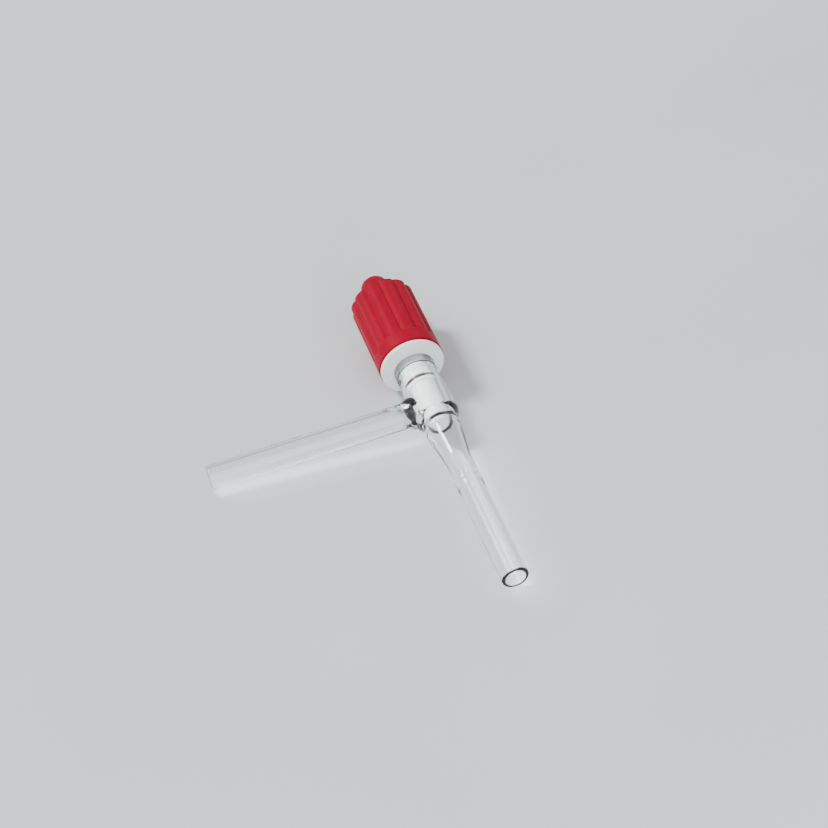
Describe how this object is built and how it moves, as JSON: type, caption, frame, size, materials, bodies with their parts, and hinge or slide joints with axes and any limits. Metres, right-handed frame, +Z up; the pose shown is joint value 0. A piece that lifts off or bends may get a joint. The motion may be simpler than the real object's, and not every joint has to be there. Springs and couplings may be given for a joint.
{
  "type": "glass stopcock",
  "caption": "Right-angle glass stopcock: blown glass barrel with two tube arms, white plastic key drawn up and down by a lobed red screw knob on a white collar.",
  "frame": {"origin": "on the surface that it lies on, under the middle of the whole object", "axes": "+X along the straight arm towards its mouth, as seen from above; +Z up from the surface; the side arm points to -Y"},
  "size_m": [0.1949, 0.1208, 0.0341],
  "materials": {
    "glass": "clear blown borosilicate glass",
    "collar_white": "satin moulded plastic",
    "key_white": "turned white fluoropolymer, waxy",
    "seal_brown": "brown fluoroelastomer",
    "clip_steel": "spring steel",
    "knob_red": "glossy moulded plastic"
  },
  "bodies": {
    "glass": {"glass_body": "glass", "collar": "collar_white"},
    "key": {"key": "key_white", "key_seal": "seal_brown", "tail_clip": "clip_steel"},
    "knob": {"knob": "knob_red", "knob_cap": "knob_red"}
  },
  "joints": [
    {"name": "key_lift", "type": "slide", "parent": "glass", "child": "key", "axis": [-0.9975, 0, 0.0711], "range_m": [0, 0.01]},
    {"name": "knob_turn", "type": "hinge", "parent": "key", "child": "knob", "pos_m": [-0.00769, 0.04476, 0.0134], "axis": [-0.9975, 0, 0.0711], "range_deg": [0, 900]}
  ],
  "couplings": [
    {"joint": "knob_turn", "follows": "key_lift", "rad_per_m": 1570.8}
  ]
}
